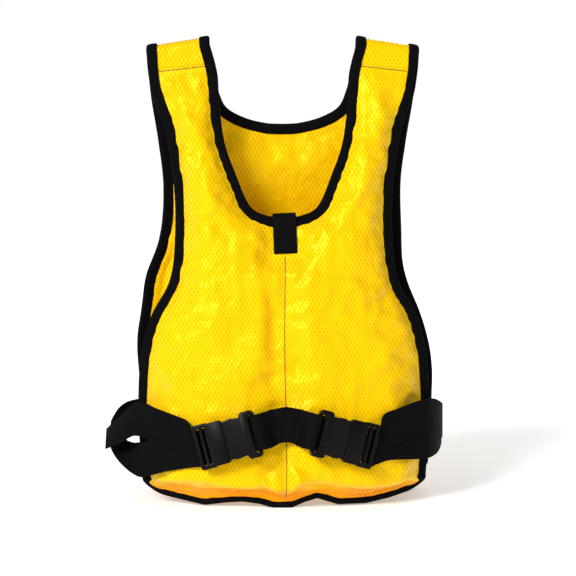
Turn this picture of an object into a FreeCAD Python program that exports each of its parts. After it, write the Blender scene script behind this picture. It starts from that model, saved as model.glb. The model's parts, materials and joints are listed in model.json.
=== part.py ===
import FreeCAD, Part
import math
import os

# A pull-over buoyancy vest that stands on its hem, in millimetres.
# +Z is up, the front faces -Y, and X runs to the right as seen from the front.
# Two curved, foam-filled panels meet over the shoulders. A webbing belt with two
# side-release buckles crosses the front, loops round both sides and runs across the back.

Vector = FreeCAD.Vector
doc = FreeCAD.newDocument("BuoyancyVest")

dimensions = [
    ("vest_height", 496),          # hem to the top of the shoulder, at the neck side
    ("shoulder_drop", 12),         # how far the outer end of the shoulder is lower
    ("shoulder_line_y", 6.84),     # depth of the shoulder fold, so that the box is centred
    ("seam_height", 460),          # where the panels are sewn to the shoulder pieces
    ("hem_corner_radius", 26),
    ("top_depth", 9),              # panel's mid-surface to the shoulder line, at the top
    ("hem_depth", 84),             # and at the hem
    ("top_curl", 0.0002),          # y = curl * x * x across a panel, at the top
    ("hem_curl", 0.00167),         # and at the hem
    ("binding_width", 11),
    ("binding_front", 3),          # how far the folded tape stands off the mid-surface
    ("binding_back", 3.5),
    ("cloth_thickness", 1),
    ("cloth_inset", 2),            # cloth edge inside the folded tape
    ("pad_inset", 13),             # edge of the foam pocket from the panel's edge
    ("pad_thickness", 24),
    ("pad_bottom", 26),
    ("pad_top", 440),
    ("channel_width", 6),          # sewn gap between the two front foams
    ("foam_clearance", 0.3),
    ("tab_width", 25),
    ("tab_top", 309),
    ("tab_bottom", 268),
    ("thread_width", 0.8),
    ("thread_foot", 30),           # lower end of the middle line of stitches
    ("thread_top", 266),
    ("shoulder_thread_height", 454),
    ("binding_split", 98),         # x where the tape's pieces meet at the hem and the seam
    ("webbing_width", 38),
    ("webbing_thickness", 1.5),
    ("belt_height", 77),           # middle of the belt across the back
    ("front_belt_height", 91),     # at the middle of the front
    ("strap_height", 71),          # side straps, from the buckles outward
    ("tail_height", 85),           # free tails, over the side straps
    ("loop_height", 72),           # and round the sides
    ("strap_start", 82),           # x where a side strap and a tail come out of the buckle
    ("tail_start", 102),
    ("strap_end", 149),            # and where the webbing leaves the panel
    ("keeper_start", 88),
    ("keeper_width", 25),
    ("keeper_overlap", 9),         # keeper above and below the belt
    ("belt_gap", 0.8),             # webbing to padded cloth
    ("loop_reach", 187),           # how far the side loops stand out
    ("buckle_inner_x", 29),
    ("buckle_inner_height", 85),
    ("buckle_standoff", 29.6),     # buckle's back face to the panel's mid-surface
    ("buckle_roll", 14.5),         # outer ends hang lower
    ("buckle_yaw", 10),            # and turn back with the panel
    ("buckle_lean", 8.6),
    ("socket_length", 34.5),
    ("socket_width", 50),
    ("buckle_thickness", 12),
    ("plate_thickness", 2.2),
    ("plug_gap", 0.5),
    ("base_length", 16),
    ("ladder_length", 16),
    ("bar_width", 3.5),            # socket's webbing bar
    ("slot_width", 3.2),
    ("arm_pivot_offset", 12),
    ("arm_pivot_radius", 2.6),
    ("arm_thickness", 6.4),
]

sheet = doc.addObject("Spreadsheet::Sheet", "Dims")
for row, (alias, number) in enumerate(dimensions, start=1):
    sheet.set(f"A{row}", alias.replace("_", " "))
    sheet.set(f"B{row}", str(number))
    sheet.setAlias(f"B{row}", alias)
doc.recompute()


def size(alias):
    return float(getattr(sheet, alias))


# Half outlines as (half width, height), from the shoulder down. The straps run on above
# the seam, and the shoulder pieces use the same edges.
front_neck = [(84.5, 520), (80.5, 496), (71, 460), (69, 427), (63.5, 386), (52.5, 354), (37, 319)]
front_neck_bottom = [(19, 308.5), (0, 306.5)]
front_armhole = [(149, 520), (144, 460), (139, 433), (126, 398), (117, 340), (116, 285),
                 (122, 239), (143, 198), (154, 150), (156, 90), (152, 26)]
back_neck = [(84.5, 520), (80.5, 496), (74, 460), (69.5, 440), (62, 423)]
back_neck_bottom = [(38, 409), (0, 403)]
back_armhole = [(149, 520), (144, 460), (141, 430), (134, 385), (129, 335), (133, 275),
                (145, 227), (163, 165), (168, 105), (164, 26)]

nodes = {}


def keep(name, thing):
    """Marks a document object as a finished sub-part and names its file."""
    thing.Label = name
    nodes[name] = thing
    return thing


def spline(points, start=None, end=None):
    curve = Part.BSplineCurve()
    ends = {"InitialTangent": start, "FinalTangent": end} if start else {}
    curve.interpolate(Points=points, **ends)
    return curve


def moved_left(curve, amount, up, samples=30):
    """Points of a flat curve, moved by an amount to the left of its run, seen from up."""
    first, last = curve.FirstParameter, curve.LastParameter
    points = []
    for number in range(samples + 1):
        at = first + (last - first) * number / samples
        along = curve.tangent(at)[0]
        points.append(curve.value(at) + up.cross(along) * amount)
    return points


def outline(name, neck, neck_bottom, armhole, amount=0.0):
    """Face of a whole panel in the XZ plane, made smaller all round by an amount."""
    down, toward = Vector(0, 0, -1), Vector(0, -1, 0)
    right_neck = [Vector(x, 0, z) for x, z in neck + neck_bottom]
    left_neck = [Vector(-point.x, 0, point.z) for point in right_neck[:-1]]
    neck_curve = spline(left_neck + right_neck[::-1])
    arm_curve = spline([Vector(x, 0, z) for x, z in armhole], Vector(-0.08, 0, -1), down)
    side, corner = armhole[-1]
    radius = size("hem_corner_radius") - amount
    if amount:
        neck_curve = spline(moved_left(neck_curve, -amount, toward))
        arm_points = moved_left(arm_curve, -amount, toward)
        arm_points[-1] = Vector(side - amount, 0, corner)
        arm_curve = spline(arm_points, Vector(-0.08, 0, -1), down)
    right_arm = arm_curve.toShape()
    left_arm = right_arm.mirror(Vector(0, 0, 0), Vector(1, 0, 0))
    centre_x = side - amount - radius
    foot = corner - radius
    edges = [neck_curve.toShape(), right_arm, left_arm,
             Part.makeLine(Vector(centre_x, 0, foot), Vector(-centre_x, 0, foot))]
    for sign in (1, -1):
        slant = radius * math.sqrt(0.5)
        edges.append(Part.Arc(Vector(sign * (centre_x + radius), 0, corner),
                              Vector(sign * (centre_x + slant), 0, corner - slant),
                              Vector(sign * centre_x, 0, foot)).toShape())
    neck_ends = [neck_curve.value(neck_curve.FirstParameter), neck_curve.value(neck_curve.LastParameter)]
    arm_top = arm_curve.value(arm_curve.FirstParameter)
    edges.append(Part.makeLine(neck_ends[0], Vector(-arm_top.x, 0, arm_top.z)))
    edges.append(Part.makeLine(neck_ends[1], arm_top))
    thing = doc.addObject("Part::Feature", name)
    thing.Shape = Part.Face(Part.Wire(Part.__sortEdges__(edges)))
    return thing


def prism(name, face):
    """A face in the XZ plane carried through the whole depth of one panel."""
    thing = doc.addObject("Part::Extrusion", name)
    thing.Base = face
    thing.DirMode = "Custom"
    thing.Dir = Vector(0, 1, 0)
    thing.LengthFwd = 160
    thing.LengthRev = 160
    thing.Solid = True
    return thing


def box(name, low, high):
    """A plain block between two corners, which trims or splits a layer.

    Each coordinate is a number, or an expression in the sheet's cells.
    """
    thing = doc.addObject("Part::Box", name)
    for side, axis, start, end in zip(("Length", "Width", "Height"), "xyz", low, high):
        if isinstance(start, str) or isinstance(end, str):
            thing.setExpression(side, f"({end}) - ({start})")
        else:
            setattr(thing, side, end - start)
        thing.setExpression(f"Placement.Base.{axis}", str(start))
    return thing


def span(sign, near, far):
    """Two expressions in x, mirrored to the side that sign gives, lowest first."""
    return (near, far) if sign > 0 else (f"-({far})", f"-({near})")


def slab(name, facing, near, far):
    """A curved layer from near to far outside a panel's mid-surface."""
    reach = 215
    sections = []
    for level, share in ((-30, -30 / size("vest_height")), (530, 530 / size("vest_height"))):
        depth = size("hem_depth") + (size("top_depth") - size("hem_depth")) * share
        curl = size("hem_curl") + (size("top_curl") - size("hem_curl")) * share
        edges, ends = [], []
        for offset in (near, far):
            middle = size("shoulder_line_y") + facing * (depth + offset)
            side = middle - facing * curl * reach ** 2
            parabola = Part.BezierCurve()
            parabola.setPoles([Vector(-reach, side, level),
                               Vector(0, 2 * middle - side, level),
                               Vector(reach, side, level)])
            edges.append(parabola.toShape())
            ends.append(side)
        for sign in (-1, 1):
            edges.append(Part.makeLine(Vector(sign * reach, ends[0], level),
                                       Vector(sign * reach, ends[1], level)))
        section = doc.addObject("Part::Feature", f"{name}_section")
        section.Shape = Part.Wire(Part.__sortEdges__(edges))
        sections.append(section)
    thing = doc.addObject("Part::Loft", name)
    thing.Sections = sections
    thing.Solid = True
    thing.Ruled = True
    return thing


def common(name, *things):
    thing = doc.addObject("Part::MultiCommon", name)
    thing.Shapes = list(things)
    return thing


def cut(name, base, *tools):
    for number, tool in enumerate(tools):
        thing = doc.addObject("Part::Cut", f"{name}_{number}")
        thing.Base = base
        thing.Tool = tool
        base = thing
    return base


def fuse(name, *things):
    thing = doc.addObject("Part::MultiFuse", name)
    thing.Shapes = list(things)
    return thing


cloth = size("cloth_thickness")
pad = size("pad_thickness")
clearance = size("foam_clearance")
half_channel = size("channel_width") / 2
far_side = 250
below_seam = box("below_seam", (-far_side, -200, -10), (far_side, 200, "Dims.seam_height - 0.2"))

outlines = {"front": (front_neck, front_neck_bottom, front_armhole),
            "back": (back_neck, back_neck_bottom, back_armhole)}


def panel(side, facing, foams):
    """All the layers of one panel: cloth pocket, lining, foams and folded edge tape."""
    tape_width, cloth_edge = size("binding_width"), size("cloth_inset")
    pocket_edge = size("pad_inset")
    areas = {}
    for layer, amount in (("whole", 0), ("cloth", cloth_edge), ("tape_hole", tape_width),
                          ("tape_fold", cloth_edge - 0.5), ("pocket", pocket_edge),
                          ("hollow", pocket_edge + cloth),
                          ("foam", pocket_edge + cloth + clearance)):
        face = outline(f"{side}_{layer}_outline", *outlines[side], amount)
        areas[layer] = prism(f"{side}_{layer}_area", face)
    whole, cloth_area, tape_hole, tape_fold = [
        areas[layer] for layer in ("whole", "cloth", "tape_hole", "tape_fold")]
    pocket_area, hollow_area, foam_area = [areas[layer] for layer in ("pocket", "hollow", "foam")]

    pockets, hollows = [], []
    for number, (left, right) in enumerate(foams.values()):
        pocket_block = box(f"{side}_pocket_block_{number}",
                           (left, -200, "Dims.pad_bottom"), (right, 200, "Dims.pad_top"))
        hollow_block = box(f"{side}_hollow_block_{number}",
                           (left + cloth, -200, "Dims.pad_bottom + Dims.cloth_thickness"),
                           (right - cloth, 200, "Dims.pad_top - Dims.cloth_thickness"))
        pockets.append(common(f"{side}_pocket_{number}", slab(f"{side}_pocket_slab_{number}",
                              facing, 0, pad), pocket_area, pocket_block))
        hollows.append(common(f"{side}_hollow_{number}", slab(f"{side}_hollow_slab_{number}",
                              facing, -1, pad - cloth), hollow_area, hollow_block))
    flange = common(f"{side}_flange", slab(f"{side}_flange_slab", facing, 0, cloth),
                    cloth_area, below_seam)
    shell = fuse(f"{side}_shell_solid", flange, *pockets)
    return whole, cloth_area, tape_hole, tape_fold, foam_area, shell, pockets, hollows


def shell_and_foams(side, facing, foams, tab_room=None):
    whole, cloth_area, tape_hole, tape_fold, foam_area, shell, pockets, hollows = panel(
        side, facing, foams)
    if tab_room:
        room = box(f"{side}_tab_room", tab_room[0], tab_room[1])
        bigger = box(f"{side}_tab_wall", (tab_room[0][0] - cloth, -200, tab_room[0][2] - cloth),
                     (tab_room[1][0] + cloth, 200, tab_room[1][2]))
        raised = common(f"{side}_tab_flange_keep", slab(f"{side}_tab_keep_slab", facing, cloth, 60),
                        room)
        shell = cut(f"{side}_shell_room", shell, raised)
        hollows = [cut(f"{side}_hollow_room_{n}", hollow, bigger) for n, hollow in enumerate(hollows)]
    shell = cut(f"{side}_shell_hollowed", shell, *hollows)
    keep(f"{side}_outer_shell", shell)
    keep(f"{side}_lining", common(f"{side}_lining_solid",
         slab(f"{side}_lining_slab", facing, -1.5 * cloth, -0.5 * cloth), cloth_area, below_seam))
    for name, (left, right) in foams.items():
        gap = cloth + clearance
        block = box(f"{name}_block", (left + gap, -200, f"Dims.pad_bottom + {gap}"),
                    (right - gap, 200, f"Dims.pad_top - {gap}"))
        foam = common(f"{name}_solid",
                      slab(f"{name}_slab", facing, clearance, pad - gap), foam_area, block)
        if tab_room:
            around = box(f"{name}_tab_gap", (tab_room[0][0] - gap, -200, tab_room[0][2] - gap),
                         (tab_room[1][0] + gap, 200, tab_room[1][2]))
            foam = cut(f"{name}_cut", foam, around)
        keep(name, foam)
    tape = cut(f"{side}_tape", common(f"{side}_tape_band",
               slab(f"{side}_tape_slab", facing, -size("binding_back"), size("binding_front")),
               whole, below_seam), tape_hole,
               common(f"{side}_tape_slot", slab(f"{side}_slot_slab", facing, -1.8, 1.3), tape_fold))
    split, corner = "Dims.binding_split", "Dims.hem_corner_radius"
    zones = {
        f"{side}_neck_binding": ((f"-{split}", -200, 200), (split, 200, 540)),
        f"{side}_armhole_binding_left": ((-far_side, -200, corner), (f"-{split}", 200, 540)),
        f"{side}_armhole_binding_right": ((split, -200, corner), (far_side, 200, 540)),
        f"{side}_hem_binding": ((-far_side, -200, -10), (far_side, 200, corner)),
    }
    for name, (low, high) in zones.items():
        keep(name, common(f"{name}_solid", tape, box(f"{name}_zone", low, high)))
    return whole, tape_hole


half_tab = size("tab_width") / 2
tab_room = ((-half_tab - 4, -200, size("tab_bottom") - 6), (half_tab + 4, 200, 330))
front_whole, front_inside = shell_and_foams(
    "front", -1,
    {"front_foam_left": (-far_side, -half_channel), "front_foam_right": (half_channel, far_side)},
    tab_room)
back_whole, back_inside = shell_and_foams("back", 1, {"back_foam": (-far_side, far_side)})


def stitching():
    """Thread down the middle of the front and across both shoulder straps."""
    layer = slab("thread_slab", -1, cloth + 0.1, cloth + 0.7)
    lines = [common("thread_middle", layer,
                    box("thread_middle_block", ("-Dims.thread_width / 2", -200, "Dims.thread_foot"),
                        ("Dims.thread_width / 2", 200, "Dims.thread_top")))]
    for sign in (-1, 1):
        low, high = span(sign, 84, 131)
        lines.append(common("thread_shoulder", layer,
                            box("thread_shoulder_block", (low, -200, "Dims.shoulder_thread_height"),
                                (high, 200, "Dims.shoulder_thread_height + Dims.thread_width"))))
    keep("front_stitching", fuse("stitching_solid", *lines))


def neck_tab():
    """Webbing folded over the middle of the neck tape, front and back."""
    webbing = size("webbing_thickness")
    front, back = size("binding_front") + 0.3, size("binding_back") + 0.3
    left, right = "-Dims.tab_width / 2", "Dims.tab_width / 2"
    leaf = box("tab_leaf", (left, -200, "Dims.tab_bottom"), (right, 200, "Dims.tab_top"))
    fold = box("tab_fold", (left, -200, "Dims.tab_top - Dims.webbing_thickness"),
               (right, 200, "Dims.tab_top"))
    pieces = [common("tab_front", slab("tab_front_slab", -1, front, front + webbing), leaf),
              common("tab_back", slab("tab_back_slab", -1, -back - webbing, -back), leaf),
              common("tab_top", slab("tab_top_slab", -1, -back - webbing, front + webbing), fold)]
    keep("neck_tab", fuse("tab_solid", *pieces))


stitching()
neck_tab()


def add_sketch(body, name, role):
    """A sketch on one of the body's own origin planes."""
    plane = [item for item in body.Origin.OriginFeatures if item.Role == role][0]
    sketch = body.newObject("Sketcher::SketchObject", name)
    sketch.AttachmentSupport = [(plane, "")]
    sketch.MapMode = "FlatFace"
    return sketch


def polygon(sketch, points):
    for start, end in zip(points, points[1:] + points[:1]):
        sketch.addGeometry(Part.LineSegment(Vector(*start, 0), Vector(*end, 0)), False)


def pad_up(body, name, sketch, length, offset):
    """Pads a sketch on XY upward from a height; both are numbers or expressions."""
    sketch.setExpression("AttachmentOffset.Base.z", str(offset))
    thing = body.newObject("PartDesign::Pad", name)
    thing.Profile = sketch
    thing.setExpression("Length", str(length))
    doc.recompute()
    return thing


def pocket_through(body, name, points, low, high):
    """Cuts a polygon on XY out of the body between two heights."""
    sketch = add_sketch(body, f"{name}_sketch", "XY_Plane")
    polygon(sketch, points)
    sketch.AttachmentOffset = FreeCAD.Placement(Vector(0, 0, high), FreeCAD.Rotation())
    before = body.Shape.Volume
    thing = body.newObject("PartDesign::Pocket", name)
    thing.Profile = sketch
    thing.Length = high - low
    doc.recompute()
    if body.Shape.Volume > before - 1:
        raise SystemExit(f"{name} cuts nothing")
    return thing


def rectangle(x0, x1, half_width):
    return [(x0, -half_width), (x1, -half_width), (x1, half_width), (x0, half_width)]


# The buckle's own frame: x runs outward from the socket's inner end, y is its width,
# and z is its thickness, from the back face.
thick = size("buckle_thickness")
plate = size("plate_thickness")
socket_length = size("socket_length")
half_socket = size("socket_width") / 2
plug_start = socket_length + size("plug_gap")
ladder_start = plug_start + size("base_length")
plug_end = ladder_start + size("ladder_length")
pivot_x = plug_start + 4


def buckle_placement(sign):
    """Where a buckle sits on the front panel: sign -1 is the wearer's side at -X."""
    length = (plug_end * math.cos(math.radians(size("buckle_roll")))) / 2
    x_middle = size("buckle_inner_x") + length * math.cos(math.radians(size("buckle_yaw")))
    z_middle = size("buckle_inner_height") - plug_end / 2 * math.sin(math.radians(size("buckle_roll")))
    share = z_middle / size("vest_height")
    depth = size("hem_depth") + (size("top_depth") - size("hem_depth")) * share
    curl = size("hem_curl") + (size("top_curl") - size("hem_curl")) * share
    y_middle = size("shoulder_line_y") - depth + curl * x_middle ** 2 - size("buckle_standoff")
    facing_front = FreeCAD.Rotation(Vector(sign, 0, 0), Vector(0, 0, sign), Vector(0, -1, 0), "XZY")
    turn = (FreeCAD.Rotation(Vector(1, 0, 0), -size("buckle_lean"))
            * FreeCAD.Rotation(Vector(0, 0, 1), sign * size("buckle_yaw"))
            * FreeCAD.Rotation(Vector(0, 1, 0), sign * size("buckle_roll"))
            * facing_front)
    middle = Vector(sign * x_middle, y_middle, z_middle)
    return FreeCAD.Placement(middle - turn.multVec(Vector(plug_end / 2, 0, 0)), turn)


def rounded_block(body, name, x0, x1, half_width, inset, corner):
    """A block with cut corners, as thick as the buckle less an inset on each face."""
    sketch = add_sketch(body, f"{name}_sketch", "XY_Plane")
    polygon(sketch, [(x0 + corner, -half_width), (x1 - corner, -half_width),
                     (x1, -half_width + corner), (x1, half_width - corner),
                     (x1 - corner, half_width), (x0 + corner, half_width),
                     (x0, half_width - corner), (x0, -half_width + corner)])
    return pad_up(body, name, sketch, f"Dims.buckle_thickness - 2 * {inset}", inset)


def buckle_socket(side, sign):
    """Female half: a wide rear block with the webbing slot, and a waisted mouth."""
    body = doc.addObject("PartDesign::Body", f"socket_{side}_body")
    rounded_block(body, "rear_block", 0, 15, half_socket, 0, 2.5)
    rounded_block(body, "mouth", 12, socket_length, 20.5, 0, 1.5)
    pocket_through(body, "bore", rectangle(12.5, socket_length + 1, 18), plate, thick - plate)
    pocket_through(body, "side_windows", rectangle(16, 30, 24), plate, thick - plate)
    bar = size("bar_width")
    pocket_through(body, "webbing_slot", rectangle(bar, bar + size("slot_width"), 20), -1, thick + 1)
    pocket_through(body, "bar_relief", rectangle(-1, bar + 0.1, 20), thick - 4, thick + 1)
    body.Placement = buckle_placement(sign)
    keep(f"buckle_socket_{side}", body)


def buckle_plug(side, sign):
    """Male half: base with arm seats, guide tongue and a ladder-lock."""
    body = doc.addObject("PartDesign::Body", f"plug_{side}_body")
    rounded_block(body, "base", plug_start, ladder_start + 1, 23, 1, 2)
    rounded_block(body, "ladder", ladder_start - 1, plug_end, half_socket - 1, 2.5, 2)
    rounded_block(body, "tongue", 14, plug_start + 1, 3.6, 3.5, 1)
    pivot = size("arm_pivot_offset")
    seat = size("arm_pivot_radius") + 0.3
    for number, hand in enumerate((-1, 1)):
        low, high = sorted((hand * (pivot - seat - 3), hand * (pivot + seat + 1.2)))
        pocket_through(body, f"arm_seat_{number}",
                       [(plug_start - 1, low), (pivot_x, low), (pivot_x, high), (plug_start - 1, high)],
                       plate, thick - plate)
        seat_sketch = add_sketch(body, f"seat_sketch_{number}", "XY_Plane")
        seat_sketch.addGeometry(Part.Circle(Vector(pivot_x, hand * pivot, 0), Vector(0, 0, 1), seat))
        seat_sketch.AttachmentOffset = FreeCAD.Placement(Vector(0, 0, thick - plate),
                                                         FreeCAD.Rotation())
        round_seat = body.newObject("PartDesign::Pocket", f"round_seat_{number}")
        round_seat.Profile = seat_sketch
        round_seat.Length = thick - 2 * plate
        doc.recompute()
    slot = size("slot_width")
    pocket_through(body, "inner_slot", rectangle(ladder_start + 6 - slot, ladder_start + 6, 19.5),
                   -1, thick + 1)
    pocket_through(body, "outer_slot", rectangle(ladder_start + 9, ladder_start + 9 + slot, 19.5),
                   -1, thick + 1)
    body.Placement = buckle_placement(sign)
    keep(f"buckle_plug_{side}", body)


def release_arm(side, sign, place, hand):
    """Sprung arm of the plug, with the squeeze pad that shows in the socket's side."""
    body = doc.addObject("PartDesign::Body", f"arm_{side}_{place}_body")
    pivot = size("arm_pivot_offset")
    low = "(Dims.buckle_thickness - Dims.arm_thickness) / 2"
    sketch = add_sketch(body, "arm_sketch", "XY_Plane")
    polygon(sketch, [(x, hand * y) for x, y in (
        (pivot_x, pivot - 1.9), (31, pivot - 1.2), (24, pivot - 0.4), (17.5, pivot + 1.5),
        (17, pivot + 5), (19.5, pivot + 8.6), (25, pivot + 9.6), (29.4, pivot + 9.2),
        (29.4, pivot + 5.4), (32, pivot + 3), (pivot_x, pivot + 1.9))])
    pad_up(body, "arm_pad", sketch, "Dims.arm_thickness", low)
    root = add_sketch(body, "root_sketch", "XY_Plane")
    root.addGeometry(Part.Circle(Vector(pivot_x, hand * pivot, 0), Vector(0, 0, 1),
                                 size("arm_pivot_radius")))
    pad_up(body, "root_pad", root, "Dims.arm_thickness", low)
    body.Placement = buckle_placement(sign)
    keep(f"release_arm_{side}_{place}", body)


for side, sign in (("left", -1), ("right", 1)):
    buckle_socket(side, sign)
    buckle_plug(side, sign)
    # In the right buckle's frame +y is up, and in the left one's it is down.
    release_arm(side, sign, "upper", sign)
    release_arm(side, sign, "lower", -sign)


def strip(name, facing, near, reach, height):
    """Webbing laid on a panel: between two x expressions, around a middle height."""
    low, high = reach
    layer = slab(f"{name}_slab", facing, near, near + size("webbing_thickness"))
    return common(f"{name}_solid", layer,
                  box(f"{name}_block", (low, -200, f"{height} - Dims.webbing_width / 2"),
                      (high, 200, f"{height} + Dims.webbing_width / 2")))


def belt_keeper(side, sign, near):
    """Webbing bridge over the back belt, sewn down above and below it."""
    skin = size("webbing_thickness")
    low, high = span(sign, "Dims.keeper_start", "Dims.keeper_start + Dims.keeper_width")
    reach = "(Dims.webbing_width / 2 + Dims.keeper_overlap)"
    room = "(Dims.webbing_width / 2 + 2)"
    block = common(f"keeper_{side}_block", slab("keeper_slab", 1, pad + 0.3, near + 3 * skin),
                   box("keeper_zone", (low, -200, f"Dims.belt_height - {reach}"),
                       (high, 200, f"Dims.belt_height + {reach}")))
    gap = common(f"keeper_{side}_room", slab("keeper_room", 1, pad - 1, near + 2 * skin),
                 box("keeper_gap", (f"{low} - 1", -200, f"Dims.belt_height - {room}"),
                     (f"{high} + 1", 200, f"Dims.belt_height + {room}")))
    keep(f"belt_keeper_{side}", cut(f"keeper_{side}_bridge", block, gap))


def webbing():
    """The belt: front middle, front sides, free tails, side loops, back and its keepers."""
    skin = size("webbing_thickness")
    near = pad + size("belt_gap")
    inner = "Dims.buckle_inner_x + 8"
    keep("front_belt", strip("front_belt", -1, near, (f"-({inner})", inner), "Dims.front_belt_height"))
    keep("back_belt", strip("back_belt", 1, near, ("-Dims.strap_end", "Dims.strap_end"),
                            "Dims.belt_height"))
    for side, sign in (("left", -1), ("right", 1)):
        keep(f"side_strap_{side}",
             strip(f"side_strap_{side}", -1, near, span(sign, "Dims.strap_start", "Dims.strap_end"),
                   "Dims.strap_height"))
        keep(f"strap_tail_{side}",
             strip(f"strap_tail_{side}", -1, near + 2 * skin,
                   span(sign, "Dims.tail_start", "Dims.strap_end"), "Dims.tail_height"))
        belt_keeper(side, sign, near)
        side_loop(side, sign, skin)


def side_loop(side, sign, skin):
    """Webbing that leaves the front, bows out past the vest's edge and meets the back belt."""
    shift = size("shoulder_line_y")
    reach = size("loop_reach")
    foot = size("loop_height") - size("webbing_width") / 2
    plan = [(151, -67), (160, -58), (172, -38), (reach - 4, -18), (reach, 2), (reach - 4, 24),
            (174, 46), (163, 60), (151, 68)]
    up = Vector(0, 0, 1)
    near = spline([Vector(sign * x, y + shift, foot) for x, y in plan])
    far_points = moved_left(near, sign * skin, up)
    far = spline(far_points)
    edges = [near.toShape(), far.toShape(),
             Part.makeLine(near.value(near.FirstParameter), far_points[0]),
             Part.makeLine(near.value(near.LastParameter), far_points[-1])]
    face = doc.addObject("Part::Feature", f"loop_{side}_plan")
    face.Shape = Part.Face(Part.Wire(Part.__sortEdges__(edges)))
    thing = doc.addObject("Part::Extrusion", f"loop_{side}_solid")
    thing.Base = face
    thing.DirMode = "Custom"
    thing.Dir = Vector(0, 0, 1)
    thing.setExpression("LengthFwd", "Dims.webbing_width")
    thing.Solid = True
    keep(f"side_loop_{side}", thing)


webbing()


def shoulder_profile(name, grow):
    """Inverted U of doubled cloth over the shoulder, carried along the shoulder line."""
    body = doc.addObject("PartDesign::Body", name)
    sketch = add_sketch(body, f"{name}_sketch", "YZ_Plane")
    outer, inner = 0.6 + grow, -0.6 - grow
    for shift in (outer, inner):
        top, waist, foot = 7 + shift, 8, 50
        sketch.addGeometry(Part.Arc(Vector(-top, -waist, 0), Vector(0, shift - 0.6, 0),
                                    Vector(top, -waist, 0)), False)
        sketch.addGeometry(Part.LineSegment(Vector(top, -waist, 0),
                                            Vector(top + 9, -foot, 0)), False)
        sketch.addGeometry(Part.LineSegment(Vector(-top, -waist, 0),
                                            Vector(-top - 9, -foot, 0)), False)
    for sign in (-1, 1):
        sketch.addGeometry(Part.LineSegment(Vector(sign * (16 + outer), -50, 0),
                                            Vector(sign * (16 + inner), -50, 0)), False)
    pad_along = body.newObject("PartDesign::Pad", f"{name}_pad")
    pad_along.Profile = sketch
    pad_along.Length = 110
    return body


def shoulders():
    """Cloth and edge tape over each shoulder, above the seams."""
    slope = math.degrees(math.asin(size("shoulder_drop") / 64))
    top = size("vest_height")
    neck_corner = front_neck[1][0]
    band = cut("shoulder_band", front_whole, front_inside)
    middle = 110
    for side, sign in (("left", -1), ("right", 1)):
        cloth_body = shoulder_profile(f"shoulder_cloth_{side}_body", 0)
        tape_body = shoulder_profile(f"shoulder_tape_{side}_body", 0.9)
        for body, lower in ((cloth_body, 0.9), (tape_body, 0)):
            start = Vector(neck_corner - 20, size("shoulder_line_y"),
                           top + 20 * math.tan(math.radians(slope)) - lower)
            turn = FreeCAD.Rotation(Vector(0, 1, 0), slope)
            if sign < 0:
                start.x = -start.x
                turn = FreeCAD.Rotation(Vector(0, 0, 1), 180) * turn
            body.Placement = FreeCAD.Placement(start, turn)
        low, high = sorted((sign * 60, sign * 170))
        zone = box(f"shoulder_{side}_zone", (low, -60, "Dims.seam_height + 0.3"), (high, 60, 540))
        keep(f"shoulder_cloth_{side}",
             common(f"shoulder_cloth_{side}_solid", cloth_body, front_inside, zone))
        for edge, (start_x, end_x) in (("inner", (50, middle)), ("outer", (middle, 170))):
            low, high = sorted((sign * start_x, sign * end_x))
            tape_zone = box(f"tape_{side}_{edge}_zone", (low, -60, "Dims.seam_height + 0.3"),
                            (high, 60, 540))
            keep(f"shoulder_binding_{edge}_{side}",
                 common(f"shoulder_binding_{edge}_{side}_solid", tape_body, band, tape_zone))


shoulders()
doc.recompute()

failed = [item.Label for item in doc.Objects if "Invalid" in item.State or "Error" in item.State]
if failed:
    raise SystemExit(f"failed objects: {failed}")
os.makedirs("parts", exist_ok=True)
for name, thing in nodes.items():
    shape = thing.Shape
    if shape.isNull() or not shape.isValid() or not shape.Solids:
        raise SystemExit(f"{name} is not a valid solid")
    shape.exportStep(f"parts/{name}.step")
    room = shape.BoundBox
    print(f"{name:32s} solids {len(shape.Solids)}  volume {shape.Volume:10.0f}  "
          f"x {room.XMin:7.1f} {room.XMax:7.1f}  y {room.YMin:7.1f} {room.YMax:7.1f}  "
          f"z {room.ZMin:7.1f} {room.ZMax:7.1f}")
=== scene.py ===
import json
import math

import bpy
import numpy as np
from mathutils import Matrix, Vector, noise
from mathutils.kdtree import KDTree


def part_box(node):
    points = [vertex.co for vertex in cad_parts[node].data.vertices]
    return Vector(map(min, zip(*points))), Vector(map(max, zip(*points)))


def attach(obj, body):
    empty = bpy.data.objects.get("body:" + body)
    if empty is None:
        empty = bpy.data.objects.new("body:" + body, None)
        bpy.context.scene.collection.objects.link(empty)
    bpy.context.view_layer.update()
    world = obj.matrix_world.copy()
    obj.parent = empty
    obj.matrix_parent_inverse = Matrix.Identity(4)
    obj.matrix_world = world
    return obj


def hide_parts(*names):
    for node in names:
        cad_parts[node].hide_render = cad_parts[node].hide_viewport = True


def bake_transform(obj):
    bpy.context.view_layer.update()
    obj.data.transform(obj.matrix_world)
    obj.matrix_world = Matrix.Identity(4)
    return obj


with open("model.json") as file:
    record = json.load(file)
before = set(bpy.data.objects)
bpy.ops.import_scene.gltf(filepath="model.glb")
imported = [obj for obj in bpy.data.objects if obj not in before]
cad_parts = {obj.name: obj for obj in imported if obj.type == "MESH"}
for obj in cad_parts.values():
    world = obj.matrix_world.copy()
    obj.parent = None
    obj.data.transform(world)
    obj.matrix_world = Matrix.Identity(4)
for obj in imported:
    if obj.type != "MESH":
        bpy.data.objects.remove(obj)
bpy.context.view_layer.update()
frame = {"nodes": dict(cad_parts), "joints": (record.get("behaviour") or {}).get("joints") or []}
mm = 0.001

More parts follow.
